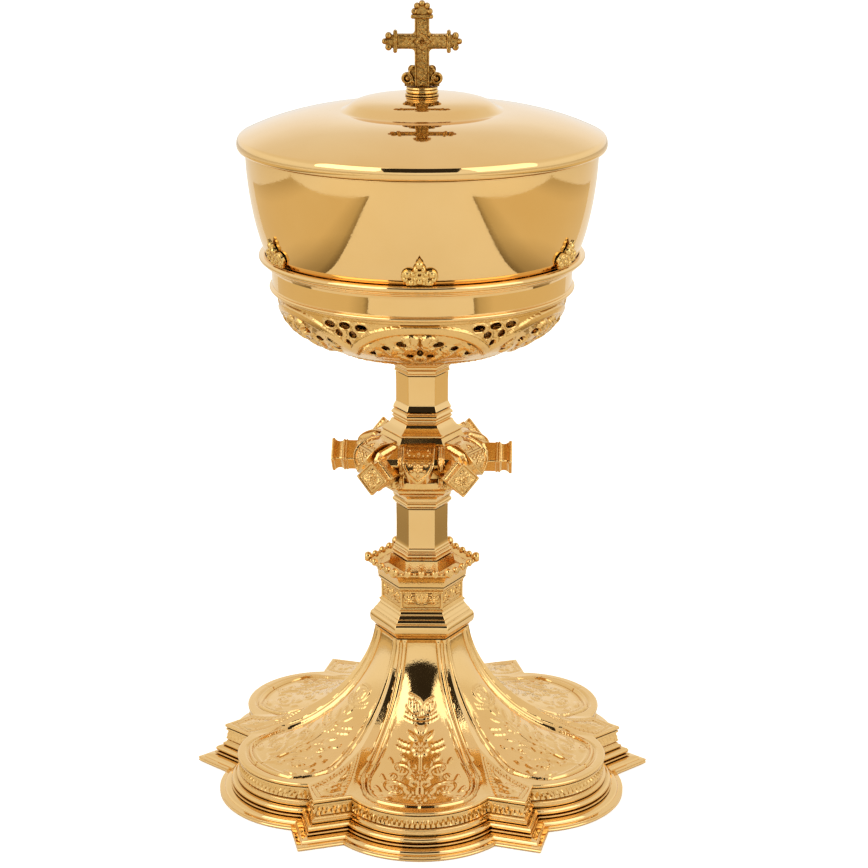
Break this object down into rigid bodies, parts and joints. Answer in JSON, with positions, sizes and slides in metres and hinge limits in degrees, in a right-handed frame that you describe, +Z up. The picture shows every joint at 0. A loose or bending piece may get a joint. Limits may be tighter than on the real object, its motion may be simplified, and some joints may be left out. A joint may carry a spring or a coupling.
{
  "type": "ciborium",
  "caption": "Covered altar cup in gilt brass: polished cup with lift-off lid and cross, openwork basket, hexagonal stem with armed knop, lobed foot with pointed corners",
  "frame": {"origin": "the middle of the foot's flat underside, where the vertical axis meets the surface it stands on", "axes": "+Z up the axis of stem, cup and lid; -Y is the front, faced by one lobe of the foot, one shield of the knop and the flat of the cross; +X to the viewer's right"},
  "size_m": [0.1758, 0.1664, 0.2961],
  "materials": {
    "polished_gilt": "gold-plated brass, mirror polished",
    "cast_gilt": "gold-plated cast brass, raised edges polished and grounds matt",
    "antique_gilt": "gold-plated cast brass, matt and darkened in the hollows",
    "steel": "plain steel fasteners out of sight"
  },
  "bodies": {
    "stand": {"basket_band": "polished_gilt", "basket_cage": "cast_gilt", "basket_finial_1": "antique_gilt", "basket_finial_2": "antique_gilt", "basket_finial_3": "antique_gilt", "basket_finial_4": "antique_gilt", "basket_finial_5": "antique_gilt", "basket_finial_6": "antique_gilt", "cup_boss": "cast_gilt", "cup_bowl": "polished_gilt", "foot_flange": "polished_gilt", "foot_plinth": "polished_gilt", "foot_sweep": "polished_gilt", "frieze_drum": "cast_gilt", "gallery_crown": "cast_gilt", "knop_arm_1": "cast_gilt", "knop_arm_2": "cast_gilt", "knop_arm_3": "cast_gilt", "knop_arm_4": "cast_gilt", "knop_arm_5": "cast_gilt", "knop_arm_6": "cast_gilt", "knop_body": "cast_gilt", "knop_lower_neck": "polished_gilt", "knop_shield_1": "cast_gilt", "knop_shield_2": "cast_gilt", "knop_shield_3": "cast_gilt", "knop_shield_4": "cast_gilt", "knop_shield_5": "cast_gilt", "knop_shield_6": "cast_gilt", "knop_upper_neck": "polished_gilt", "lower_shaft": "polished_gilt", "stem_capital": "polished_gilt", "stem_collar": "polished_gilt", "tie_nut": "steel", "tie_rod": "steel", "tie_washer": "steel", "upper_shaft": "polished_gilt"},
    "lid": {"cross_base": "antique_gilt", "cross_finial": "antique_gilt", "finial_nut": "steel", "finial_washer": "steel", "lid_bezel": "polished_gilt", "lid_shell": "polished_gilt"}
  },
  "joints": [
    {"name": "lid_lift", "type": "slide", "parent": "stand", "child": "lid", "axis": [0, 0, 1], "range_m": [0, 0.15]}
  ]
}
